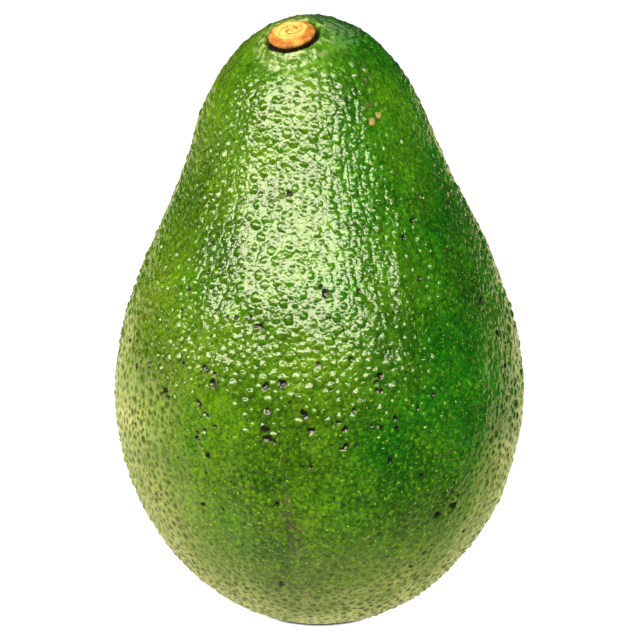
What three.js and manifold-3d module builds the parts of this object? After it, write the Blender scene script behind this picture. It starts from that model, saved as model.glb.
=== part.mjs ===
// A whole avocado, standing on its blunt end with the neck up.
// Millimetres, +Z up. The origin is the centre of the small flat spot that the fruit rests on,
// and the stem end leans towards -Y.

import * as THREE from 'three';
import { mergeVertices } from 'three/addons/utils/BufferGeometryUtils.js';
import Module from 'manifold-3d';

const wasm = await Module();
wasm.setup();

const degrees = Math.PI / 180;

// Driving dimensions of the fruit
const fruitHeight = 114.2;
const flatRadius = 8.5; // the flat spot under the blunt end
const flatEdgeSlope = 14 * degrees; // how steeply the underside leaves the flat spot
const bellyRadius = 38.1; // widest half-width, side to side
const bellyHeight = 42.9; // height of the widest place
const neckRadius = 22.1;
const neckHeight = 91.9;
const neckTaper = 18 * degrees; // slope of the neck's sides, from the vertical
const depthRatio = 0.97; // front to back, as a share of side to side
const neckShift = { x: -1.4, y: -2.5 }; // the neck stands this far off the belly's centre
const shiftStart = { x: 72, y: 88 }; // heights between which the centre line moves over
const shiftEnd = { x: 101, y: 112 };

// Driving dimensions of the stem button, a stub of woody stalk in a shallow socket
const stemOut = 8.7; // from the neck's centre line to the button's
const stemHeading = 246 * degrees; // side of the neck that it is on, from +X towards +Y
const stemTilt = 23 * degrees; // lean of the button from the vertical, the same way
const buttonRadius = 4.6;
const buttonFaceRadius = 3.6; // the cut face, inside a bevelled edge of bark
const buttonRise = 0.9; // cut face above the skin
const buttonSink = 1.4; // underside below the skin
const buttonGap = 0.3; // clearance to the socket all round

const ringCount = 44; // steps along the outline
const ringSides = 60; // corners in each ring
const buttonSides = 32;

// Half the fruit's outline as (radius, height), from the flat spot up to the top of the crown.
function fruitOutline() {
  const underside = 17; // lengths of the curve handles
  const bellyBelow = 20.2;
  const bellyAbove = 19.9;
  const neckBelow = 17;
  const neckAbove = 16.6;
  const crown = 8.9;
  const neckIn = Math.sin(neckTaper);
  const neckUp = Math.cos(neckTaper);

  const outline = new THREE.Path();
  outline.moveTo(flatRadius, 0);
  outline.bezierCurveTo(
    flatRadius + underside * Math.cos(flatEdgeSlope), underside * Math.sin(flatEdgeSlope),
    bellyRadius, bellyHeight - bellyBelow,
    bellyRadius, bellyHeight,
  );
  outline.bezierCurveTo(
    bellyRadius, bellyHeight + bellyAbove,
    neckRadius + neckBelow * neckIn, neckHeight - neckBelow * neckUp,
    neckRadius, neckHeight,
  );
  outline.bezierCurveTo(
    neckRadius - neckAbove * neckIn, neckHeight + neckAbove * neckUp,
    crown, fruitHeight,
    0, fruitHeight,
  );
  return outline.getSpacedPoints(ringCount);
}

// A point of the skin, from its place on the outline and its heading around the centre line.
function onSkin(radius, height, heading) {
  const across = THREE.MathUtils.smoothstep(height, shiftStart.x, shiftEnd.x) * neckShift.x;
  const forward = THREE.MathUtils.smoothstep(height, shiftStart.y, shiftEnd.y) * neckShift.y;
  return new THREE.Vector3(
    radius * Math.cos(heading) + across,
    radius * depthRatio * Math.sin(heading) + forward,
    height,
  );
}

// The closed body: a fan over the flat spot, rings up the outline and a fan over the crown.
function fruitBody() {
  const outline = fruitOutline();
  const rings = outline.slice(0, -1);
  const points = [new THREE.Vector3(0, 0, 0)];
  for (const { x: radius, y: height } of rings) {
    for (let side = 0; side < ringSides; side += 1) {
      points.push(onSkin(radius, height, (side / ringSides) * 2 * Math.PI));
    }
  }
  const top = points.length;
  points.push(onSkin(0, fruitHeight, 0));

  const triangles = [];
  const lastRing = 1 + (rings.length - 1) * ringSides;
  for (let side = 0; side < ringSides; side += 1) {
    const next = (side + 1) % ringSides;
    triangles.push(0, 1 + next, 1 + side);
    for (let low = 1; low < lastRing; low += ringSides) {
      const high = low + ringSides;
      triangles.push(low + side, low + next, high + next);
      triangles.push(low + side, high + next, high + side);
    }
    triangles.push(lastRing + side, lastRing + next, top);
  }

  const geometry = new THREE.BufferGeometry().setFromPoints(points);
  geometry.setIndex(triangles);
  return geometry;
}

// Height of the crown's skin at a distance from the centre line.
function crownHeight(radius) {
  const outline = fruitOutline();
  const above = outline.findLastIndex((point) => point.x > radius) + 1;
  const outer = outline[above - 1];
  const inner = outline[above];
  const share = (outer.x - radius) / (outer.x - inner.x);
  return THREE.MathUtils.lerp(outer.y, inner.y, share);
}

// Puts a piece made about +Z, with the skin at its z = 0, where the stalk was.
function placeAtStem(object) {
  const tiltAxis = new THREE.Vector3(-Math.sin(stemHeading), Math.cos(stemHeading), 0);
  object.setRotationFromAxisAngle(tiltAxis, stemTilt);
  object.position.copy(onSkin(stemOut, crownHeight(stemOut), stemHeading));
}

// A turned solid about +Z from (radius, height) pairs that start and end on the axis.
function turned(profile) {
  const points = profile.map(([radius, height]) => new THREE.Vector2(radius, height));
  return new THREE.LatheGeometry(points, buttonSides).rotateX(Math.PI / 2);
}

function toSolid(geometry) {
  const bare = geometry.clone();
  bare.deleteAttribute('normal');
  bare.deleteAttribute('uv');
  const merged = mergeVertices(bare, 1e-4);
  const mesh = new wasm.Mesh({
    numProp: 3,
    vertProperties: new Float32Array(merged.attributes.position.array),
    triVerts: new Uint32Array(merged.index.array),
  });
  return new wasm.Manifold(mesh);
}

function toGeometry(solid) {
  const mesh = solid.getMesh();
  const geometry = new THREE.BufferGeometry();
  geometry.setAttribute('position', new THREE.BufferAttribute(mesh.vertProperties, 3));
  geometry.setIndex(new THREE.BufferAttribute(mesh.triVerts, 1));
  geometry.computeVertexNormals();
  return geometry;
}

// The fruit: skin, flesh and seed grown as one body, with the stub's socket cut in the stem end.
function makeFruit() {
  const socketRadius = buttonRadius + buttonGap;
  const socketDepth = buttonSink + buttonGap;
  const cutterTop = 4; // well clear of the skin
  const cutter = new THREE.Mesh(turned([
    [0, -socketDepth],
    [socketRadius, -socketDepth],
    [socketRadius, cutterTop],
    [0, cutterTop],
  ]));
  placeAtStem(cutter);
  cutter.updateMatrix();
  const socket = cutter.geometry.applyMatrix4(cutter.matrix);

  const body = toSolid(fruitBody()).subtract(toSolid(socket));
  const skin = new THREE.MeshStandardMaterial({ color: '#4f8a1c', roughness: 0.35, metalness: 0 });
  const fruit = new THREE.Mesh(toGeometry(body), skin);
  fruit.name = 'fruit';
  return fruit;
}

// The stem button: a low disc of woody stalk with a bevelled edge and a flat cut face.
function makeStemButton() {
  const footRadius = buttonRadius - 0.3; // narrower underneath
  const shoulderRadius = buttonRadius - 0.15; // where the side turns into the bevel
  const shoulderHeight = 0.35;
  const wood = new THREE.MeshStandardMaterial({ color: '#d99a45', roughness: 0.75, metalness: 0 });
  const button = new THREE.Mesh(turned([
    [0, -buttonSink],
    [footRadius, -buttonSink],
    [buttonRadius, 0],
    [shoulderRadius, shoulderHeight],
    [buttonFaceRadius, buttonRise],
    [0, buttonRise],
  ]), wood);
  button.name = 'stem_button';
  placeAtStem(button);
  return button;
}

const avocado = new THREE.Group();
avocado.add(makeFruit(), makeStemButton());

export default avocado;
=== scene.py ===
import math

import bpy
import numpy as np
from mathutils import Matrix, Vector
from mathutils.kdtree import KDTree


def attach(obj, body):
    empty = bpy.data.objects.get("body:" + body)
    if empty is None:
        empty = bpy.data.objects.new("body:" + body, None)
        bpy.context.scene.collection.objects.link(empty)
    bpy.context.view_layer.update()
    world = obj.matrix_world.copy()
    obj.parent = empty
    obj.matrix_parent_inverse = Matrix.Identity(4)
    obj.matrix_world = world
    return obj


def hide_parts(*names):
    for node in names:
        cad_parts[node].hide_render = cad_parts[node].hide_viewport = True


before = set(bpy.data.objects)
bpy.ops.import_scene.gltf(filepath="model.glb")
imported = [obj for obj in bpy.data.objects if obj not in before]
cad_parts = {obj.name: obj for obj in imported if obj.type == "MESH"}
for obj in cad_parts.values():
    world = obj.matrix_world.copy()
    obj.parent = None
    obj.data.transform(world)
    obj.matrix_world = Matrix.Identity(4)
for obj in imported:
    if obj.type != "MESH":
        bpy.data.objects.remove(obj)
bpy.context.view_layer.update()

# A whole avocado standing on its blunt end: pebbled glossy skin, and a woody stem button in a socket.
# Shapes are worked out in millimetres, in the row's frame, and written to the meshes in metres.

MM = 0.001

# ---------------------------------------------------------------- the fruit's shape, as in the part

FRUIT_HEIGHT = 114.2
FLAT_RADIUS = 8.5
FLAT_EDGE_SLOPE = math.radians(14)
BELLY_RADIUS = 38.1
BELLY_HEIGHT = 42.9
NECK_RADIUS = 22.1
NECK_HEIGHT = 91.9
NECK_TAPER = math.radians(18)
UNDERSIDE_HANDLE = 17
BELLY_BELOW_HANDLE = 20.2
BELLY_ABOVE_HANDLE = 19.9
NECK_BELOW_HANDLE = 17
NECK_ABOVE_HANDLE = 16.6
CROWN_HANDLE = 8.9
DEPTH_RATIO = 0.97
NECK_SHIFT = np.array([-1.4, -2.5])
SHIFT_START = (72, 88)  # heights between which the neck moves over, across and forward
SHIFT_END = (101, 112)

STEM_OUT = 8.7
STEM_HEADING = math.radians(246)
STEM_TILT = math.radians(23)
BUTTON_RADIUS = 4.6
BUTTON_SINK = 1.4
SOCKET_DEPTH = 1.7

CELLS = 288  # cells along each side of the six patches of skin


def smooth(low, high, value):
    """0 below low, 1 above high, and a smooth rise between."""
    t = np.clip((value - low) / (high - low), 0, 1)
    return t * t * (3 - 2 * t)


def bezier(start, handle_a, handle_b, end, count=900):
    """Points along a cubic curve."""
    t = np.linspace(0, 1, count)[:, None]
    corners = [np.array(p, float) for p in (start, handle_a, handle_b, end)]
    weights = ((1 - t) ** 3, 3 * (1 - t) ** 2 * t, 3 * (1 - t) * t**2, t**3)
    return sum(w * p for w, p in zip(weights, corners))


def fruit_outline():
    """Half the outline, from the flat spot to the crown: share of its length, radius and height."""
    edge = (FLAT_RADIUS, 0)
    belly = (BELLY_RADIUS, BELLY_HEIGHT)
    neck = (NECK_RADIUS, NECK_HEIGHT)
    slope_out, slope_up = math.cos(FLAT_EDGE_SLOPE), math.sin(FLAT_EDGE_SLOPE)
    neck_in, neck_up = math.sin(NECK_TAPER), math.cos(NECK_TAPER)
    flat = bezier((0, 0), (FLAT_RADIUS / 3, 0), (FLAT_RADIUS * 2 / 3, 0), edge, 200)
    lower = bezier(
        edge,
        (FLAT_RADIUS + UNDERSIDE_HANDLE * slope_out, UNDERSIDE_HANDLE * slope_up),
        (BELLY_RADIUS, BELLY_HEIGHT - BELLY_BELOW_HANDLE),
        belly,
    )
    middle = bezier(
        belly,
        (BELLY_RADIUS, BELLY_HEIGHT + BELLY_ABOVE_HANDLE),
        (NECK_RADIUS + NECK_BELOW_HANDLE * neck_in, NECK_HEIGHT - NECK_BELOW_HANDLE * neck_up),
        neck,
    )
    upper = bezier(
        neck,
        (NECK_RADIUS - NECK_ABOVE_HANDLE * neck_in, NECK_HEIGHT + NECK_ABOVE_HANDLE * neck_up),
        (CROWN_HANDLE, FRUIT_HEIGHT),
        (0, FRUIT_HEIGHT),
    )
    path = np.concatenate([flat, lower[1:], middle[1:], upper[1:]])
    steps = np.linalg.norm(np.diff(path, axis=0), axis=1)
    length = np.concatenate([[0], np.cumsum(steps)])
    return length / length[-1], path[:, 0], path[:, 1]


SHARE, OUTLINE_RADIUS, OUTLINE_HEIGHT = fruit_outline()


def on_skin(share, heading):
    """Points of the smooth skin, from their share of the outline's length and their heading."""
    radius = np.interp(share, SHARE, OUTLINE_RADIUS)
    height = np.interp(share, SHARE, OUTLINE_HEIGHT)
    across = smooth(SHIFT_START[0], SHIFT_END[0], height) * NECK_SHIFT[0]
    forward = smooth(SHIFT_START[1], SHIFT_END[1], height) * NECK_SHIFT[1]
    x = radius * np.cos(heading) + across
    y = radius * DEPTH_RATIO * np.sin(heading) + forward
    return np.stack([x, y, height], axis=-1)


def skin_normals(share, heading):
    """Outward directions of the smooth skin at those places."""
    nudge = 1e-4
    below = on_skin(np.clip(share - nudge, 0, 1), heading)
    above = on_skin(np.clip(share + nudge, 0, 1), heading)
    along = above - below
    around = np.stack([-np.sin(heading), DEPTH_RATIO * np.cos(heading), 0 * heading], axis=-1)
    normal = np.cross(around, along)
    normal /= np.linalg.norm(normal, axis=-1, keepdims=True)
    return normal


def at_height(height, heading_degrees):
    """The point of the smooth skin at a height and a heading in degrees."""
    share = np.interp(height, OUTLINE_HEIGHT[1:], SHARE[1:])
    return on_skin(np.array(share), np.array(math.radians(heading_degrees)))


# ---------------------------------------------------------------- noise


def value_noise(points, seed):
    """Smooth noise from -1 to 1 with one hill or hollow in each unit of length."""
    side = 32
    table = np.random.default_rng(seed).uniform(-1, 1, (side, side, side))
    cell = np.floor(points).astype(int)
    part = points - cell
    rise = part**3 * (part * (part * 6 - 15) + 10)
    total = np.zeros(len(points))
    for corner in np.ndindex(2, 2, 2):
        weight = np.ones(len(points))
        index = []
        for axis, step in enumerate(corner):
            weight = weight * (rise[:, axis] if step else 1 - rise[:, axis])
            index.append((cell[:, axis] + step) % side)
        total += weight * table[tuple(index)]
    return total


def noise(points, size, seed, octaves=2):
    """Value noise whose largest features are size across."""
    total, weight = 0, 0
    for octave in range(octaves):
        scale = 2**octave / size
        total = total + value_noise(points * scale + 7.3 * octave, seed + octave) / 2**octave
        weight += 1 / 2**octave
    return total / weight * 1.6


# ---------------------------------------------------------------- meshes


def patch_directions(cells):
    """Directions of the grid points of six square patches that cover a ball, patch by patch."""
    step = np.tan(np.linspace(-math.pi / 4, math.pi / 4, cells + 1))
    u, v = np.meshgrid(step, step, indexing="ij")
    one = np.ones_like(u)
    patches = [
        (one, u, v),
        (-one, -u, v),
        (-u, one, v),
        (u, -one, v),
        (-v, u, one),
        (v, u, -one),
    ]
    rows = np.stack([np.stack(p, axis=-1) for p in patches]).reshape(-1, 3)
    return rows / np.linalg.norm(rows, axis=1, keepdims=True)


def skin_grid(cells):
    """The grid of the skin: direction of each point once, quads, and a map place for each corner."""
    rows = patch_directions(cells)
    keys = np.round(rows * 1e5).astype(np.int64)
    keys = (keys[:, 0] * 400_000 + keys[:, 1]) * 400_000 + keys[:, 2]
    _, first, where = np.unique(keys, return_index=True, return_inverse=True)
    index = where.reshape(6, cells + 1, cells + 1)
    quads = np.stack(
        [index[:, :-1, :-1], index[:, 1:, :-1], index[:, 1:, 1:], index[:, :-1, 1:]], axis=-1
    ).reshape(-1, 4)

    margin = 0.006
    place = np.linspace(0, 1, cells + 1)
    u, v = np.meshgrid(place, place, indexing="ij")
    maps = []
    for patch in range(6):
        column, row = patch % 3, patch // 3
        map_u = (column + margin * 3 + u * (1 - margin * 6)) / 3
        map_v = (row + margin * 2 + v * (1 - margin * 4)) / 2
        both = np.stack([map_u, map_v], axis=-1)
        maps.append(np.stack([both[:-1, :-1], both[1:, :-1], both[1:, 1:], both[:-1, 1:]], axis=2))
    return rows[first], quads, np.concatenate(maps).reshape(-1, 2)


def make_mesh(name, points, faces, map_places=None):
    """A smooth-shaded mesh object from points in millimetres and faces of one size."""
    mesh = bpy.data.meshes.new(name)
    corners = faces.shape[1]
    mesh.vertices.add(len(points))
    mesh.vertices.foreach_set("co", (points * MM).astype(np.float32).ravel())
    mesh.loops.add(faces.size)
    mesh.loops.foreach_set("vertex_index", faces.astype(np.int32).ravel())
    mesh.polygons.add(len(faces))
    mesh.polygons.foreach_set("loop_start", np.arange(0, faces.size, corners, dtype=np.int32))
    mesh.update(calc_edges=True)
    mesh.validate()
    mesh.shade_smooth()
    if map_places is not None:
        layer = mesh.uv_layers.new(name="OFBake")
        layer.uv.foreach_set("vector", map_places.astype(np.float32).ravel())
    thing = bpy.data.objects.new(name, mesh)
    bpy.context.scene.collection.objects.link(thing)
    return thing


def store(thing, name, values):
    """Keeps one number per point on the mesh, for the material to read."""
    layer = thing.data.attributes.new(name, "FLOAT", "POINT")
    layer.data.foreach_set("value", np.clip(values, -1, 2).astype(np.float32))


# ---------------------------------------------------------------- the skin's pebbles, pits and scars

SIZE_CLASSES = [  # radius of a pebble and how many places are tried for that size
    (0.80, 7000),
    (0.60, 20000),
    (0.42, 36000),
    (0.30, 30000),
]
PEBBLE_GAP = 1.18  # clear distance between pebbles, as a share of their two radii
PEBBLE_RISE = 0.30  # height of a pebble as a share of its radius
GRID_CELL = 2.1  # side of the boxes in which a pebble looks for its neighbours


def scatter_pebbles(rng):
    """Centres and radii of pebbles all over the skin, the large ones placed first."""
    grid = {}
    centres, radii = [], []
    area = np.concatenate([[0], np.cumsum(OUTLINE_RADIUS[1:] * np.diff(SHARE))])
    for base_radius, tries in SIZE_CLASSES:
        share = np.interp(rng.random(tries) * area[-1], area, SHARE)
        heading = rng.random(tries) * 2 * math.pi
        finer = 0.84 + 0.16 * smooth(15, 60, np.interp(share, SHARE, OUTLINE_HEIGHT))
        size = base_radius * finer * rng.uniform(0.82, 1.15, tries)
        for point, radius in zip(on_skin(share, heading).tolist(), size.tolist()):
            x, y, z = (int(value // GRID_CELL) for value in point)
            if has_neighbour(grid, x, y, z, point, radius):
                continue
            grid.setdefault((x, y, z), []).append((*point, radius))
            centres.append(point)
            radii.append(radius)
    return np.array(centres), np.array(radii)


def has_neighbour(grid, x, y, z, point, radius):
    """Whether a pebble placed earlier is too close, in this box of the grid or one beside it."""
    for i in (x - 1, x, x + 1):
        for j in (y - 1, y, y + 1):
            for k in (z - 1, z, z + 1):
                for other in grid.get((i, j, k), ()):
                    reach = PEBBLE_GAP * (radius + other[3])
                    dx, dy, dz = point[0] - other[0], point[1] - other[1], point[2] - other[2]
                    if dx * dx + dy * dy + dz * dz < reach * reach:
                        return True
    return False


def nearest(points, centres, count):
    """Index and distance of each point's nearest centres."""
    tree = KDTree(len(centres))
    for index, centre in enumerate(centres):
        tree.insert(centre, index)
    tree.balance()
    found = [tree.find_n(point, count) for point in points]
    index = np.array([[hit[1] for hit in hits] for hits in found])
    distance = np.array([[hit[2] for hit in hits] for hits in found])
    return index, distance


def pebble_height(points, rng):
    """Height of the pebbles at each point, the same from 0 at a pebble's base to 1 at its top, and a ring
    of painted shade round each base.
    """
    centres, radii = scatter_pebbles(rng)
    rises = radii * PEBBLE_RISE * rng.uniform(0.55, 1.35, len(radii))
    index, distance = nearest(points, centres, 3)
    wobble = noise(points, 0.9, 41, 2)[:, None] * 0.2
    reach = distance / radii[index] + wobble
    dome = np.clip(1 - reach**2, 0, 1) ** 0.85
    moat = np.exp(-(((reach - 1.25) / 0.3) ** 2)) * -0.16
    height = (rises[index] * (dome + moat)).max(axis=1)
    low = (rises[index] * moat).min(axis=1)
    height = np.where(height > 1e-4, height, low)
    # Painted shade: a ring round each pebble's base, darkened in the skin's colour.
    painted_foot_shade = np.exp(-(((reach - 1.12) / 0.2) ** 2)).max(axis=1)
    return height, dome.max(axis=1), painted_foot_shade


def line_distance(points, line):
    """Distance from each point to a line through (height, heading in degrees) places."""
    places = [at_height(height, heading) for height, heading in line]
    best = np.full(len(points), 1e9)
    for start, end in zip(places, places[1:]):
        along = end - start
        share = np.clip((points - start) @ along / (along @ along), 0, 1)
        gap = np.linalg.norm(points - start - share[:, None] * along, axis=1)
        best = np.minimum(best, gap)
    return best


# Marks that the skin has, as (height, heading in degrees, radius)
DARK_PITS = [
    (54, 236, 0.75),
    (48.5, 222, 0.69),
    (47.5, 223, 0.5),
    (52, 260, 0.88),
    (49, 262, 0.5),
    (45.5, 275, 0.62),
    (44.5, 277, 0.56),
    (42, 256, 0.81),
    (44, 255, 0.56),
    (47, 256, 0.56),
    (47, 266, 0.62),
    (44, 268, 0.56),
    (30, 312, 0.56),
    (27, 314, 0.75),
    (26, 308, 0.69),
    (63.5, 330, 0.75),
    (57, 335, 0.69),
    (63, 223, 0.5),
    (67, 224, 0.5),
    (47.5, 235, 0.5),
    (85, 259, 0.46),
    (37, 268, 0.44),
    (30, 258, 0.5),
    (12, 255, 0.62),
    (76.5, 303, 0.44),
]
PALE_SCABS = [(97, 302, 0.75), (98, 308, 0.7), (83, 318, 0.4)]


def pit_depths(points, rng):
    """How deep each point is in a dark pit, from 0 to 1, and its distance in radii from the nearest."""
    singles = 130
    heights = np.clip(rng.normal(46, 20, singles), 8, 108)
    headings = rng.uniform(0, 360, singles)
    radii = rng.uniform(0.22, 0.5, singles)
    clusters, members = 34, 4
    middle_heights = np.repeat(np.clip(rng.normal(50, 15, clusters), 10, 100), members)
    middle_headings = np.repeat(rng.uniform(0, 360, clusters), members)
    count = clusters * members
    heights = np.concatenate([heights, middle_heights + rng.normal(0, 0.7, count)])
    headings = np.concatenate([headings, middle_headings + rng.normal(0, 1.3, count)])
    radii = np.concatenate([radii, rng.uniform(0.25, 0.5, count)])
    pits = DARK_PITS + list(zip(heights, headings, radii))
    centres = [at_height(height, heading) for height, heading, _ in pits]
    sizes = np.array([size for _, _, size in pits])
    index, distance = nearest(points, centres, 1)
    wobble = noise(points, 0.8, 61, 2) * 0.8
    reach = distance[:, 0] / sizes[index[:, 0]] + wobble
    return 1 - smooth(0.3, 1.0, reach), reach


def spots(points, places, seed):
    """1 on round marks and 0 elsewhere, with uneven edges."""
    total = np.zeros(len(points))
    wobble = noise(points, 1.0, seed, 2) * 0.35
    for height, heading, radius in places:
        gap = np.linalg.norm(points - at_height(height, heading), axis=1) / radius + wobble
        total = np.maximum(total, 1 - smooth(0.7, 1.1, gap))
    return total


def stem_frame():
    """Centre of the stem button on the skin, and its two side directions and its axis."""
    share = SHARE[len(SHARE) // 2 :]
    radius = OUTLINE_RADIUS[len(SHARE) // 2 :]
    crown_share = np.interp(-STEM_OUT, -radius[radius.argmax() :], share[radius.argmax() :])
    centre = on_skin(np.array(crown_share), np.array(STEM_HEADING))
    lean = np.array([math.cos(STEM_HEADING), math.sin(STEM_HEADING), 0.0])
    axis = math.sin(STEM_TILT) * lean + np.array([0, 0, math.cos(STEM_TILT)])
    down = math.cos(STEM_TILT) * lean - np.array([0, 0, math.sin(STEM_TILT)])
    side = np.cross(axis, down)
    return centre, down, side, axis


# ---------------------------------------------------------------- the skin

# Heights up the fruit, and how strongly the pebbles stand out there
STRENGTH_BY_HEIGHT = ((0, 45, 62, 85, 100), (1.1, 1.1, 1.25, 1.15, 0.95))

# Marks drawn along lines, as (height, heading in degrees) places
SCUFF_LINE = [(107, 309), (103, 307), (99, 302)]
SCAR_LINE = [(32, 259), (27, 261), (21, 263)]
SEAM_LINE = [(21, 263), (14, 262), (8, 265)]
SQUIGGLE_LINE = [(28, 286), (27, 286.8), (26, 286), (24.6, 287.2), (23.4, 286.6), (22.4, 284.6)]
SCRATCH_LINE = [(83, 250), (84.2, 255), (85, 260)]

# Distances from the stem's axis
SOCKET_EDGE = (4.66, 4.92)
LIP_INSIDE = (4.85, 5.1)
LIP_OUTSIDE = (5.2, 7.0)
CRUST_ENDS = (5.5, 8.5)
DULL_CROWN_ENDS = (8.5, 11.5)
FAR_FROM_STEM = 99.0

PIT_DEPTH = 0.4
LIP_HEIGHT = 0.45  # behind the button
LIP_EXTRA_IN_FRONT = 0.85
SKIN_SEED = 20


def stem_places(points):
    """Distance of each point from the stem's axis, and how far in front of it it lies, from 0 to 1."""
    centre, down, side, _ = stem_frame()
    from_stem = points - centre
    out = np.hypot(from_stem @ down, from_stem @ side)
    near = points[:, 2] > FRUIT_HEIGHT - 20
    in_front = smooth(-0.2, 0.8, (from_stem @ down) / np.maximum(out, 0.1))
    return np.where(near, out, FAR_FROM_STEM), in_front


def broad_relief(points, heading):
    """The skin's waves, its long ridges and grooves from end to end, and its wrinkles."""
    height = points[:, 2]
    waves = noise(points, 13, 6) * 0.13 + noise(points, 5.5, 3, 2) * 0.13
    up_from_belly, down_from_neck = smooth(38, 52, height), 1 - smooth(72, 84, height)
    waves = waves + noise(points, 4.5, 5, 1) * 0.12 * up_from_belly * down_from_neck
    ridge_places = np.stack([np.cos(heading) * 15, np.sin(heading) * 15, height / 9], axis=1)
    ridges = noise(ridge_places, 1.0, 11, 2) * 0.11
    groove_places = np.stack([np.cos(heading) * 13, np.sin(heading) * 13, height / 8], axis=1)
    grooves = noise(groove_places, 1.0, 17, 2)
    ridges = ridges - np.exp(-((grooves / 0.13) ** 2)) * 0.05
    wrinkles = noise(points * [1, 1, 0.7], 0.9, 31, 2) * 0.04
    return waves + ridges + wrinkles


def pebble_strength(points, stem_gap):
    """How strongly the pebbles stand out at each point; they fade towards the stem."""
    strength = 0.85 + 0.3 * noise(points, 9, 21, 2)
    strength = strength * (0.45 + 0.55 * smooth(5.5, 14, stem_gap))
    return np.clip(strength, 0.2, 1.3) * np.interp(points[:, 2], *STRENGTH_BY_HEIGHT)


def skin_marks(points):
    """The named marks on the skin, each 1 on the mark and 0 elsewhere."""
    scuff = 1 - smooth(0.2, 1.7, line_distance(points, SCUFF_LINE))
    scuff = scuff * smooth(0.1, 0.4, noise(points, 0.7, 81, 2))
    scar = 1 - smooth(0.3, 2.0, line_distance(points, SCAR_LINE))
    scar = scar * smooth(-0.15, 0.3, noise(points, 0.8, 83, 2))
    seam = 1 - smooth(0.1, 0.5, line_distance(points, SEAM_LINE))
    seam = seam * smooth(-0.3, 0.2, noise(points, 1.5, 89, 1))
    squiggle_gap = line_distance(points, SQUIGGLE_LINE) + 0.15 * noise(points, 0.8, 85, 1)
    squiggle = (1 - smooth(0.08, 0.3, squiggle_gap)) * smooth(-0.5, 0.1, noise(points, 1.0, 87, 1))
    scratch = 1 - smooth(0.05, 0.25, line_distance(points, SCRATCH_LINE))
    return {
        "scabs": spots(points, PALE_SCABS, 71),
        "scuff": scuff,
        "scar": scar,
        "seam": seam,
        "squiggle": squiggle,
        "scratch": scratch,
    }


def painted_reflection_net_strength(points, heading):
    """Where the skin gets a painted reflection of the floor, a pale net with painted-shade meshes: low on
    both sides and underneath.
    """
    height = points[:, 2]
    level = height + 9 * noise(points, 12, 101, 2)
    on_left = smooth(0.6, 0.95, -np.cos(heading)) * (1 - smooth(34, 66, level))
    on_right = smooth(0.72, 0.96, np.cos(heading)) * (1 - smooth(20, 48, level))
    underneath = 0.8 * (1 - smooth(3, 24, height))
    patchy = 0.75 + 0.5 * noise(points, 7, 99, 2)
    return np.maximum(np.maximum(on_left, on_right), underneath) * patchy


def painted_light_olive_strength(points, heading):
    """Where painted light turns the green yellowish: on the lit left side and low down where the floor's
    light falls, in broad patches.
    """
    to_left = smooth(-0.2, 0.9, np.cos(heading - math.radians(205)))
    painted_light_olive = np.maximum(to_left * 0.65, 0.85 * (1 - smooth(4, 42, points[:, 2])))
    return np.clip(painted_light_olive + 0.25 * noise(points, 14, 97, 2), 0, 1)


def build_fruit():
    """The skin: the fruit's smooth shape with its relief, pebbles, pits, marks and stem socket."""
    directions, quads, map_places = skin_grid(CELLS)
    share = np.arccos(np.clip(-directions[:, 2], -1, 1)) / math.pi
    heading = np.arctan2(directions[:, 1], directions[:, 0])
    points = on_skin(share, heading)
    normals = skin_normals(share, heading)
    height = points[:, 2]
    rng = np.random.default_rng(SKIN_SEED)

    stem_gap, in_front = stem_places(points)
    pebbles, tops, painted_foot_shades = pebble_height(points, rng)
    strength = pebble_strength(points, stem_gap)
    pits, pit_reach = pit_depths(points, rng)
    pit_rim = np.exp(-(((pit_reach - 1.35) / 0.28) ** 2))
    marks = skin_marks(points)
    lip_ends = LIP_OUTSIDE[1] + 0.4 * in_front
    lip = smooth(*LIP_INSIDE, stem_gap) * (1 - smooth(LIP_OUTSIDE[0], lip_ends, stem_gap))
    streaks = smooth(0.05, 0.4, noise(points * [0.7, 1.6, 1], 0.9, 91, 2))
    crust = (1 - smooth(*CRUST_ENDS, stem_gap)) * streaks

    lift = broad_relief(points, heading) + pebbles * strength
    lift = lift - pits * PIT_DEPTH - pit_rim * 0.03
    lift = lift + marks["scabs"] * 0.12 + marks["scuff"] * 0.05 - marks["scar"] * 0.08
    lift = lift - marks["scratch"] * 0.1 + marks["squiggle"] * 0.05
    lift = lift + lip * (LIP_HEIGHT + LIP_EXTRA_IN_FRONT * in_front) + crust * 0.15
    lift = lift * smooth(0.02, 1.2, height)

    _, _, _, axis = stem_frame()
    socket = 1 - smooth(*SOCKET_EDGE, stem_gap + noise(points, 2.5, 95, 1) * 0.08)
    lift = lift * (1 - socket)
    surface = points + normals * lift[:, None] - axis * (socket * SOCKET_DEPTH)[:, None]
    surface[:, 2] = np.maximum(surface[:, 2], 0)

    skin = make_mesh("fruit_skin", surface, quads, map_places)
    masks = {
        "pebble": tops,
        # painted shade round each pebble's base
        "painted_foot_shade": painted_foot_shades * strength,
        "pit": 1 - smooth(0.85, 1.3, pit_reach),
        "scab": np.maximum.reduce([marks["scabs"], marks["squiggle"] * 0.8, marks["seam"] * 0.4]),
        "crust": crust,
        "crown": 1 - smooth(*DULL_CROWN_ENDS, stem_gap),
        # painted reflection of the floor, with painted shade on the pebble tops
        "painted_reflection_net": painted_reflection_net_strength(points, heading),
        "scar": np.maximum.reduce([marks["scuff"] * 0.7, marks["scar"], marks["scratch"]]),
        "socket": socket,
        "upper": smooth(25, 55, height),
        # painted light: yellower green on the lit side and low down
        "painted_light_olive": painted_light_olive_strength(points, heading),
    }
    for name, values in masks.items():
        store(skin, name, values)
    return skin


# ---------------------------------------------------------------- the stem button

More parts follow.
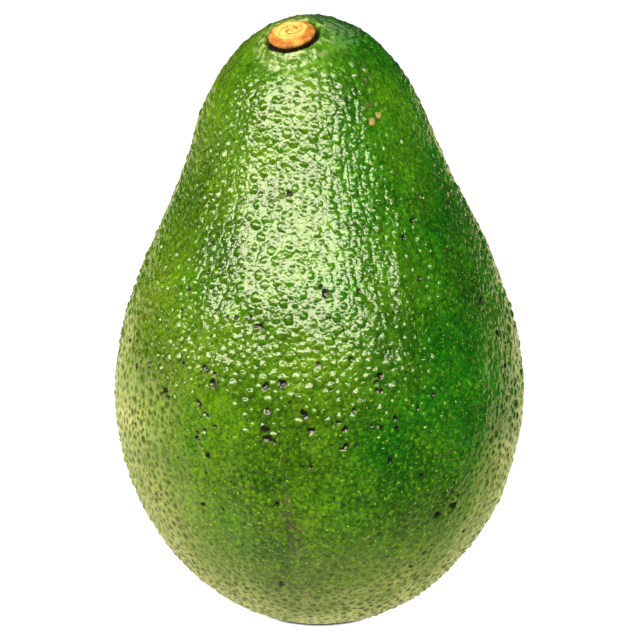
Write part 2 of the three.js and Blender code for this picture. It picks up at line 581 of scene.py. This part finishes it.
BUTTON_RINGS = 60
BUTTON_SIDES = 180
BUTTON_PROFILE = [  # share of the radius, and height, from the middle of the top to that of the underside
    (0.0, 0.72),
    (0.35, 0.70),
    (0.62, 0.78),
    (0.72, 0.86),
    (0.80, 0.74),
    (0.90, 0.60),
    (0.97, 0.42),
    (1.0, 0.10),
    (0.97, -0.30),
    (0.88, -0.8),
    (0.84, -BUTTON_SINK),
    (0.4, -BUTTON_SINK),
    (0.0, -BUTTON_SINK),
]
WIDEST_CORNER = 7  # the profile's corner where the top ends and the side begins
FACE_OFF_CENTRE = [0.4, 0.45]  # the cut face isn't quite in the middle of the bark
FACE_EDGE = (0.64, 0.74)  # in shares of the radius


def button_grid():
    """The button's smooth shape round its own axis, point by point, and which points are on top."""
    corners = np.array(BUTTON_PROFILE, float)
    steps = np.linalg.norm(np.diff(corners * [BUTTON_RADIUS, 1], axis=0), axis=1)
    length = np.concatenate([[0], np.cumsum(steps)])
    along = np.linspace(0, length[-1], BUTTON_RINGS + 1)[1:-1]
    share = np.interp(along, length, corners[:, 0])
    level = np.interp(along, length, corners[:, 1])
    turn = np.linspace(0, 2 * math.pi, BUTTON_SIDES, endpoint=False)

    share_grid, turn_grid = np.meshgrid(share, turn, indexing="ij")
    level_grid = np.repeat(level[:, None], BUTTON_SIDES, axis=1)
    on_top = np.repeat((along < length[WIDEST_CORNER])[:, None], BUTTON_SIDES, axis=1)
    round_places = np.stack([np.cos(turn) * 1.4, np.sin(turn) * 1.4, 0 * turn], axis=1)
    rim = BUTTON_RADIUS * (0.965 + 0.035 * noise(round_places, 1, 7, 2))
    x = share_grid * rim * np.cos(turn_grid)
    y = share_grid * rim * np.sin(turn_grid)
    flat = np.stack([x.ravel(), y.ravel(), level_grid.ravel()], axis=1)
    return flat, on_top.ravel().astype(float)


def button_marks(flat, top):
    """The cut face, its rings and its crack, each as a number per point."""
    off_centre = flat[:, :2] + FACE_OFF_CENTRE
    reach = np.hypot(off_centre[:, 0], off_centre[:, 1]) / BUTTON_RADIUS
    face = top * (1 - smooth(*FACE_EDGE, reach + 0.06 * noise(flat, 1.5, 19, 2)))
    rings = np.cos(reach * 24 + noise(flat, 1.8, 5, 2) * 4.0)
    curl = np.arctan2(off_centre[:, 1], off_centre[:, 0])
    spiral = np.abs(reach - (0.1 + 0.07 * ((curl + 2.4) % (2 * math.pi)) / math.pi * 2))
    spiral = spiral + 0.05 * noise(flat, 1.1, 13, 2)
    crack = (1 - smooth(0.015, 0.07, spiral)) * face
    crack = crack * smooth(-0.2, 0.3, noise(flat, 1.8, 15, 1) + 0.1)
    return face, rings, crack


def button_faces():
    """Triangles between the rings of points, and fans to the two end points."""
    count = BUTTON_RINGS - 1
    top_end, under_end = count * BUTTON_SIDES, count * BUTTON_SIDES + 1
    index = np.arange(count * BUTTON_SIDES).reshape(count, BUTTON_SIDES)
    after = np.roll(index, -1, axis=1)
    bands = np.stack([index[:-1], index[1:], after[1:], after[:-1]], axis=-1).reshape(-1, 4)
    first = np.stack([index[0], after[0], np.full(BUTTON_SIDES, top_end)], axis=-1)
    last = np.stack([after[-1], index[-1], np.full(BUTTON_SIDES, under_end)], axis=-1)
    return np.concatenate([bands[:, [0, 1, 2]], bands[:, [0, 2, 3]], first, last])


def build_button():
    """A stub of stalk: a bevelled rim of bark round a ringed, cracked cut face, closed underneath."""
    flat, top = button_grid()
    level = flat[:, 2].copy()
    face, rings, crack = button_marks(flat, top)
    grain = noise(flat, 0.5, 9, 2)
    bump = face * (rings * 0.025 - crack * 0.16) + grain * (0.05 + 0.05 * (1 - face))
    flat[:, 2] += bump * top
    flat[:, :2] *= (1 + (1 - top) * grain * 0.02)[:, None]

    centre, down, side, axis = stem_frame()
    ends = np.array([[0, 0, BUTTON_PROFILE[0][1]], [0, 0, -BUTTON_SINK]])
    local = np.concatenate([flat, ends])
    points = centre + local[:, :1] * down + local[:, 1:2] * side + local[:, 2:] * axis

    button = make_mesh("stem_button_wood", points, button_faces())
    at_ends = [0.0, 0.0]
    store(button, "face", np.concatenate([face, at_ends]))
    store(button, "crack", np.concatenate([crack, at_ends]))
    store(button, "ring", np.concatenate([rings, at_ends]))
    # Where the button sits low in its socket, for painted shade in the wood's colour.
    store(button, "low", np.concatenate([1 - smooth(-0.55, -0.25, level), at_ends]))
    return button


# ---------------------------------------------------------------- materials


class Nodes:
    """Short ways to add and join the nodes of one material."""

    def __init__(self, name):
        self.material = bpy.data.materials.new(name)
        self.material.use_nodes = True
        self.tree = self.material.node_tree
        self.shader = self.tree.nodes["Principled BSDF"]
        self.place = self.add("ShaderNodeTexCoord").outputs["Object"]

    def add(self, kind, **settings):
        node = self.tree.nodes.new(kind)
        for name, value in settings.items():
            setattr(node, name, value)
        return node

    def link(self, source, target):
        self.tree.links.new(source, target)

    def attribute(self, name):
        return self.add("ShaderNodeAttribute", attribute_name=name).outputs["Fac"]

    def noise(self, size_mm, detail=3.0, roughness=0.5):
        node = self.add("ShaderNodeTexNoise")
        node.inputs["Scale"].default_value = 1 / (size_mm * MM)
        node.inputs["Detail"].default_value = detail
        node.inputs["Roughness"].default_value = roughness
        self.link(self.place, node.inputs["Vector"])
        return node.outputs["Fac"]

    def voronoi(self, size_mm):
        node = self.add("ShaderNodeTexVoronoi")
        node.inputs["Scale"].default_value = 1 / (size_mm * MM)
        self.link(self.place, node.inputs["Vector"])
        return node

    def ramp(self, factor, stops):
        node = self.add("ShaderNodeValToRGB")
        marks = node.color_ramp.elements
        while len(marks) < len(stops):
            marks.new(0.5)
        for mark, (position, colour) in zip(marks, stops):
            mark.position = position
            mark.color = (*colour, 1)
        self.link(factor, node.inputs["Fac"])
        return node.outputs["Color"]

    def math(self, operation, a, b=0.5, clamp=False):
        node = self.add("ShaderNodeMath", operation=operation, use_clamp=clamp)
        for socket, value in zip(node.inputs, (a, b)):
            if isinstance(value, (int, float)):
                socket.default_value = value
            else:
                self.link(value, socket)
        return node.outputs["Value"]

    def span(self, value, low, high, to_low=0.0, to_high=1.0):
        node = self.add("ShaderNodeMapRange")
        for name, number in (
            ("From Min", low),
            ("From Max", high),
            ("To Min", to_low),
            ("To Max", to_high),
        ):
            node.inputs[name].default_value = number
        self.link(value, node.inputs["Value"])
        return node.outputs["Result"]

    def mix(self, factor, a, b):
        node = self.add("ShaderNodeMix", data_type="RGBA")
        pairs = ((node.inputs[0], factor), (node.inputs[6], a), (node.inputs[7], b))
        for socket, value in pairs:
            if isinstance(value, tuple):
                socket.default_value = (*value, 1)
            elif isinstance(value, (int, float)):
                socket.default_value = value
            else:
                self.link(value, socket)
        return node.outputs[2]

    def bump(self, height, depth_mm, below=None):
        node = self.add("ShaderNodeBump")
        node.inputs["Distance"].default_value = depth_mm * MM
        self.link(height, node.inputs["Height"])
        if below is not None:
            self.link(below, node.inputs["Normal"])
        return node.outputs["Normal"]


SKIN_IOR = 1.7


def srgb(red, green, blue):
    """A colour given as it looks on a screen, in the shader's linear values."""
    parts = np.array([red, green, blue]) / 255
    return tuple(np.where(parts <= 0.04045, parts / 12.92, ((parts + 0.055) / 1.055) ** 2.4))


def green_colour(nodes, mottle):
    """The skin's green, turned yellowish by painted light in places, with a pale net of painted
    reflection and painted-shade meshes low on the sides, and painted shade round each pebble.
    """
    broad = nodes.noise(17, 3, 0.55)
    tone = nodes.math("ADD", nodes.math("MULTIPLY", broad, 0.55), nodes.math("MULTIPLY", mottle, 0.45))
    green = nodes.ramp(
        tone,
        [
            (0.30, srgb(4, 46, 2)),
            (0.45, srgb(12, 78, 2)),
            (0.58, srgb(26, 101, 3)),
            (0.72, srgb(56, 124, 5)),
        ],
    )
    # Painted light: a yellower green on the lit left side and low down, where the floor's light falls.
    painted_light_olive = nodes.ramp(tone, [(0.32, srgb(40, 76, 4)), (0.68, srgb(104, 134, 16))])
    colour = nodes.mix(nodes.attribute("painted_light_olive"), green, painted_light_olive)

    pebble = nodes.attribute("pebble")
    painted_reflection_net = nodes.attribute("painted_reflection_net")
    # Painted reflection: a pale net between the pebbles where the skin mirrors the floor, and painted
    # shade on the pebble tops.
    between = nodes.math("MULTIPLY", nodes.span(pebble, 0.45, 0.0), painted_reflection_net)
    between = nodes.math("MULTIPLY", between, 0.7, clamp=True)
    colour = nodes.mix(between, colour, srgb(184, 184, 98))
    top = nodes.math("MULTIPLY", nodes.span(pebble, 0.3, 0.65), painted_reflection_net)
    top = nodes.math("MULTIPLY", top, 1.3, clamp=True)
    colour = nodes.mix(top, colour, srgb(7, 40, 4))
    # Painted shade: darker green round each pebble's base.
    painted_foot_shade = nodes.math("MULTIPLY", nodes.attribute("painted_foot_shade"), 0.5, clamp=True)
    return nodes.mix(painted_foot_shade, colour, srgb(5, 30, 3))


def speckled(nodes, colour, upper):
    """The colour with dark and pale grains, a few brown specks, and small pale dots."""
    grains = nodes.noise(0.75, 4, 0.7)
    darkness = nodes.span(upper, 0.0, 1.0, 0.85, 0.6)
    dark_grain = nodes.math("MULTIPLY", nodes.span(grains, 0.48, 0.36), darkness)
    colour = nodes.mix(dark_grain, colour, srgb(8, 46, 3))
    paleness = nodes.span(upper, 0.0, 1.0, 0.9, 0.4)
    pale_grain = nodes.math("MULTIPLY", nodes.span(grains, 0.55, 0.68), paleness)
    colour = nodes.mix(pale_grain, colour, srgb(108, 148, 14))

    specks = nodes.voronoi(2.3)
    speck = nodes.math("LESS_THAN", specks.outputs["Distance"], 0.13)
    chosen = nodes.span(nodes.noise(6, 1), 0.5, 0.62)
    speck = nodes.math("MULTIPLY", speck, chosen)
    colour = nodes.mix(nodes.math("MULTIPLY", speck, 0.5), colour, srgb(96, 58, 14))

    pale_dot_cells = nodes.voronoi(0.9)
    pale_dot_size = nodes.span(pale_dot_cells.outputs["Color"], 0.35, 0.85, -0.08, 0.26)
    pale_dot = nodes.math("SUBTRACT", pale_dot_size, pale_dot_cells.outputs["Distance"])
    pale_dot = nodes.span(pale_dot, 0.0, 0.08)
    return nodes.mix(nodes.math("MULTIPLY", pale_dot, paleness), colour, srgb(146, 172, 40))


def marked(nodes, colour, pit, scab, scar, socket):
    """The colour with the scars, scabs and crust over it, the pits near-black, partly their own dark
    colour and partly painted shade in the hollow, and painted shade in the stem socket.
    """
    fine = nodes.noise(0.5, 3, 0.6)
    brown = nodes.ramp(fine, [(0.3, srgb(28, 22, 5)), (0.7, srgb(84, 68, 24))])
    beige = nodes.ramp(fine, [(0.3, srgb(86, 76, 34)), (0.7, srgb(168, 140, 84))])
    black = nodes.ramp(fine, [(0.4, srgb(2, 3, 1)), (0.8, srgb(28, 19, 10))])
    colour = nodes.mix(nodes.math("MULTIPLY", scar, 0.8), colour, brown)
    colour = nodes.mix(scab, colour, beige)
    crust = nodes.math("MULTIPLY", nodes.attribute("crust"), 0.6)
    colour = nodes.mix(crust, colour, srgb(158, 174, 112))
    # Pits: near-black, partly the spots' own dark colour and partly painted shade in the hollow.
    colour = nodes.mix(pit, colour, black)
    # Painted shade: near-black in the socket round the stem button.
    return nodes.mix(socket, colour, srgb(14, 12, 6))


def skin_roughness(nodes, mottle, pit, scab, scar, socket):
    """Waxy in patches, and duller in the marks, in the socket and on the crown."""
    dull = nodes.math("MAXIMUM", nodes.math("MULTIPLY", pit, 0.3), scab)
    dull = nodes.math("MAXIMUM", dull, nodes.math("MAXIMUM", scar, socket))
    dull = nodes.math("MAXIMUM", dull, nodes.math("MULTIPLY", nodes.attribute("crown"), 0.2))
    waxy = nodes.span(mottle, 0.3, 0.7, 0.08, 0.17)
    return nodes.math("ADD", waxy, nodes.math("MULTIPLY", dull, 0.6), clamp=True)


def skin_bumps(nodes, upper):
    """Bumps finer than the mesh: tiny lenses and a ripple, both weaker low on the fruit."""
    share = nodes.span(upper, 0.0, 1.0, 0.25, 1.0)
    cells = nodes.voronoi(0.85)
    lens = nodes.math("MULTIPLY", cells.outputs["Distance"], cells.outputs["Distance"])
    lens = nodes.math("MULTIPLY", nodes.math("SUBTRACT", 1.0, lens), share)
    ripple = nodes.math("MULTIPLY", nodes.noise(0.5, 2, 0.55), share)
    return nodes.bump(ripple, 0.08, nodes.bump(lens, 0.085))


def skin_material():
    """Glossy pebbled green skin; the mesh's masks say where each kind of mark lies."""
    nodes = Nodes("avocado_skin")
    mottle = nodes.noise(2.4, 4, 0.6)
    upper = nodes.attribute("upper")
    marks = [nodes.attribute(name) for name in ("pit", "scab", "scar", "socket")]
    colour = green_colour(nodes, mottle)
    colour = speckled(nodes, colour, upper)
    colour = marked(nodes, colour, *marks)
    nodes.link(colour, nodes.shader.inputs["Base Color"])
    nodes.link(skin_roughness(nodes, mottle, *marks), nodes.shader.inputs["Roughness"])
    nodes.link(skin_bumps(nodes, upper), nodes.shader.inputs["Normal"])
    nodes.shader.inputs["IOR"].default_value = SKIN_IOR
    return nodes.material


def wood_material():
    """Dry stalk wood: a pale ringed cut face, orange bark round it, and painted shade, dark, low down
    where it sits in the socket.
    """
    nodes = Nodes("stem_wood")
    shader = nodes.shader
    fine = nodes.noise(0.35, 4, 0.65)
    patches = nodes.noise(1.6, 3, 0.6)
    face = nodes.attribute("face")
    crack = nodes.attribute("crack")
    ring = nodes.attribute("ring")
    low = nodes.attribute("low")

    bark = nodes.ramp(
        patches,
        [
            (0.30, srgb(112, 58, 16)),
            (0.50, srgb(158, 98, 34)),
            (0.68, srgb(182, 134, 58)),
        ],
    )
    cut = nodes.ramp(
        nodes.math("ADD", nodes.math("MULTIPLY", patches, 0.7), nodes.math("MULTIPLY", ring, 0.10)),
        [
            (0.16, srgb(166, 112, 44)),
            (0.36, srgb(196, 160, 82)),
            (0.55, srgb(212, 188, 116)),
        ],
    )
    colour = nodes.mix(face, bark, cut)
    grain = nodes.math("MULTIPLY", nodes.span(fine, 0.55, 0.75), 0.35)
    colour = nodes.mix(grain, colour, srgb(150, 84, 30))
    colour = nodes.mix(nodes.math("MULTIPLY", crack, 0.85), colour, srgb(120, 58, 16))
    # Painted shade: dark brown low on the button, in the gap of the socket.
    colour = nodes.mix(low, colour, srgb(40, 22, 8))
    nodes.link(colour, shader.inputs["Base Color"])
    nodes.link(nodes.span(fine, 0.3, 0.7, 0.55, 0.75), shader.inputs["Roughness"])
    nodes.link(nodes.bump(fine, 0.08), shader.inputs["Normal"])
    return nodes.material


FLOOR_TINT_MIRRORED = (1.0, 0.95, 0.44)
FLOOR_GLOW_ON_SKIN = 1.15


def contact_glow(nodes):
    """The floor's glow as the camera sees it: white, with a painted contact shadow, a short dark line, at
    the fruit's base.
    """
    contact = nodes.add("ShaderNodeAmbientOcclusion")
    contact.inputs["Distance"].default_value = 0.8 * MM
    return nodes.span(contact.outputs["AO"], 0.1, 0.4, 0.05, 1.1)


def mirrored_glow(nodes):
    """The floor's glow as the skin mirrors it: dim in front of the fruit and brighter behind."""
    parts = nodes.add("ShaderNodeSeparateXYZ")
    nodes.link(nodes.place, parts.inputs["Vector"])
    reach = nodes.add("ShaderNodeVectorMath", operation="LENGTH")
    nodes.link(nodes.place, reach.inputs[0])
    behind = nodes.math("SUBTRACT", parts.outputs["Y"], nodes.math("MULTIPLY", parts.outputs["X"], 0.3))
    behind = nodes.math("SUBTRACT", behind, nodes.math("MULTIPLY", reach.outputs["Value"], 0.25))
    close = nodes.span(behind, -80 * MM, -15 * MM, 0.02, 1.0)
    return nodes.math("ADD", close, nodes.span(behind, -20 * MM, 120 * MM, 0.0, 0.4))


def choose(nodes, when, no, yes):
    """One of two numbers, by a number that is 0 or 1."""
    node = nodes.add("ShaderNodeMix", data_type="FLOAT")
    nodes.link(when, node.inputs[0])
    for socket, value in ((node.inputs[2], no), (node.inputs[3], yes)):
        if isinstance(value, float):
            socket.default_value = value
        else:
            nodes.link(value, socket)
    return node.outputs[0]


def floor_material():
    """A pale floor that glows: white in the picture, and dimmer in front where the skin mirrors it."""
    nodes = Nodes("pale_floor")
    shader = nodes.shader
    shader.inputs["Base Color"].default_value = (0.02, 0.02, 0.02, 1)
    shader.inputs["Roughness"].default_value = 1.0
    shader.inputs["Specular IOR Level"].default_value = 0.0
    ray = nodes.add("ShaderNodeLightPath")
    tint = nodes.mix(ray.outputs["Is Glossy Ray"], (1.0, 1.0, 1.0), FLOOR_TINT_MIRRORED)
    nodes.link(tint, shader.inputs["Emission Color"])
    plain = choose(nodes, ray.outputs["Is Camera Ray"], FLOOR_GLOW_ON_SKIN, contact_glow(nodes))
    glow = choose(nodes, ray.outputs["Is Glossy Ray"], plain, mirrored_glow(nodes))
    nodes.link(glow, shader.inputs["Emission Strength"])
    return nodes.material


# ---------------------------------------------------------------- the stage

AIM = Vector((0.13 * MM, 0.0, 56.5 * MM))  # what the camera and the lamps point at
CAMERA_DISTANCE = 0.9
CAMERA_ELEVATION = math.radians(12)
CAMERA_LENS = 271  # mm, on a sensor 36 mm wide
SENSOR = 36
LAMP_COLOUR = (1.0, 0.94, 0.68)
FLOOR_HALF = 6000.0
WORLD_DIM = (0.04, 0.04, 0.04, 1)


def direction(azimuth, elevation):
    """Unit vector to a place round the fruit: azimuth 0 is the camera's side, 90 its right."""
    a, e = math.radians(azimuth), math.radians(elevation)
    return Vector((math.sin(a) * math.cos(e), -math.cos(a) * math.cos(e), math.sin(e)))


def look_from(thing, place, target):
    """Puts a camera or lamp at a place, pointing at the target with its top side up."""
    thing.location = place
    thing.rotation_mode = "QUATERNION"
    thing.rotation_quaternion = (target - place).to_track_quat("-Z", "Y")


def softbox(name, azimuth, elevation, distance, size, radiance, seen_by="both"):
    """A rectangular lamp facing the fruit, as bright per unit area as radiance says."""
    width, height = size
    lamp = bpy.data.lights.new(name, "AREA")
    lamp.shape = "RECTANGLE"
    lamp.size = width
    lamp.size_y = height
    lamp.energy = radiance * math.pi * width * height
    lamp.color = LAMP_COLOUR
    thing = bpy.data.objects.new(name, lamp)
    bpy.context.scene.collection.objects.link(thing)
    look_from(thing, AIM + direction(azimuth, elevation) * distance, AIM)
    thing.visible_camera = False
    thing.visible_glossy = seen_by != "diffuse"
    thing.visible_diffuse = seen_by != "glossy"
    return thing


def build_lights():
    """A window on the upper left, as the skin mirrors it and as it lights the skin, and two fills."""
    softbox("window_mirrored", -20, 37, 0.222, (0.42, 0.088), 10.5, "glossy")
    softbox("window", -22, 41, 0.7, (1.62, 0.32), 11.5, "diffuse")
    softbox("fill_right", 62, 42, 0.9, (0.8, 0.8), 1.8, "diffuse")
    softbox("fill_back", 170, 60, 0.9, (0.6, 0.6), 1.2)


def build_world():
    """White to the camera, and dim to everything else."""
    world = bpy.data.worlds.new("studio")
    world.use_nodes = True
    tree = world.node_tree
    tree.nodes.clear()
    out = tree.nodes.new("ShaderNodeOutputWorld")
    seen = tree.nodes.new("ShaderNodeBackground")
    dim = tree.nodes.new("ShaderNodeBackground")
    seen.inputs["Color"].default_value = (1, 1, 1, 1)
    dim.inputs["Color"].default_value = WORLD_DIM
    path = tree.nodes.new("ShaderNodeLightPath")
    both = tree.nodes.new("ShaderNodeMixShader")
    tree.links.new(path.outputs["Is Camera Ray"], both.inputs["Fac"])
    tree.links.new(dim.outputs["Background"], both.inputs[1])
    tree.links.new(seen.outputs["Background"], both.inputs[2])
    tree.links.new(both.outputs["Shader"], out.inputs["Surface"])
    bpy.context.scene.world = world


def build_floor():
    """One flat pale square, much wider than the view."""
    half = FLOOR_HALF
    corners = np.array([[-half, -half, 0], [half, -half, 0], [half, half, 0], [-half, half, 0]])
    floor = make_mesh("floor", corners, np.array([[0, 1, 2, 3]]))
    floor.data.materials.append(floor_material())


def build_camera():
    """The photograph's view: from the front, a little above, through a long lens."""
    camera = bpy.data.objects.new("camera", bpy.data.cameras.new("camera"))
    bpy.context.scene.collection.objects.link(camera)
    back = Vector((0, -math.cos(CAMERA_ELEVATION), math.sin(CAMERA_ELEVATION)))
    look_from(camera, AIM + back * CAMERA_DISTANCE, AIM)
    camera.data.lens = CAMERA_LENS
    camera.data.sensor_width = SENSOR
    camera.data.clip_start = 0.05
    camera.data.clip_end = 30
    bpy.context.scene.camera = camera


# ---------------------------------------------------------------- all together

bpy.context.scene.view_settings.view_transform = "Standard"

fruit = build_fruit()
fruit.data.materials.append(skin_material())
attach(fruit, "root")
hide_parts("fruit")

button = build_button()
button.data.materials.append(wood_material())
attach(button, "root")
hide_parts("stem_button")

build_floor()
build_lights()
build_world()
build_camera()
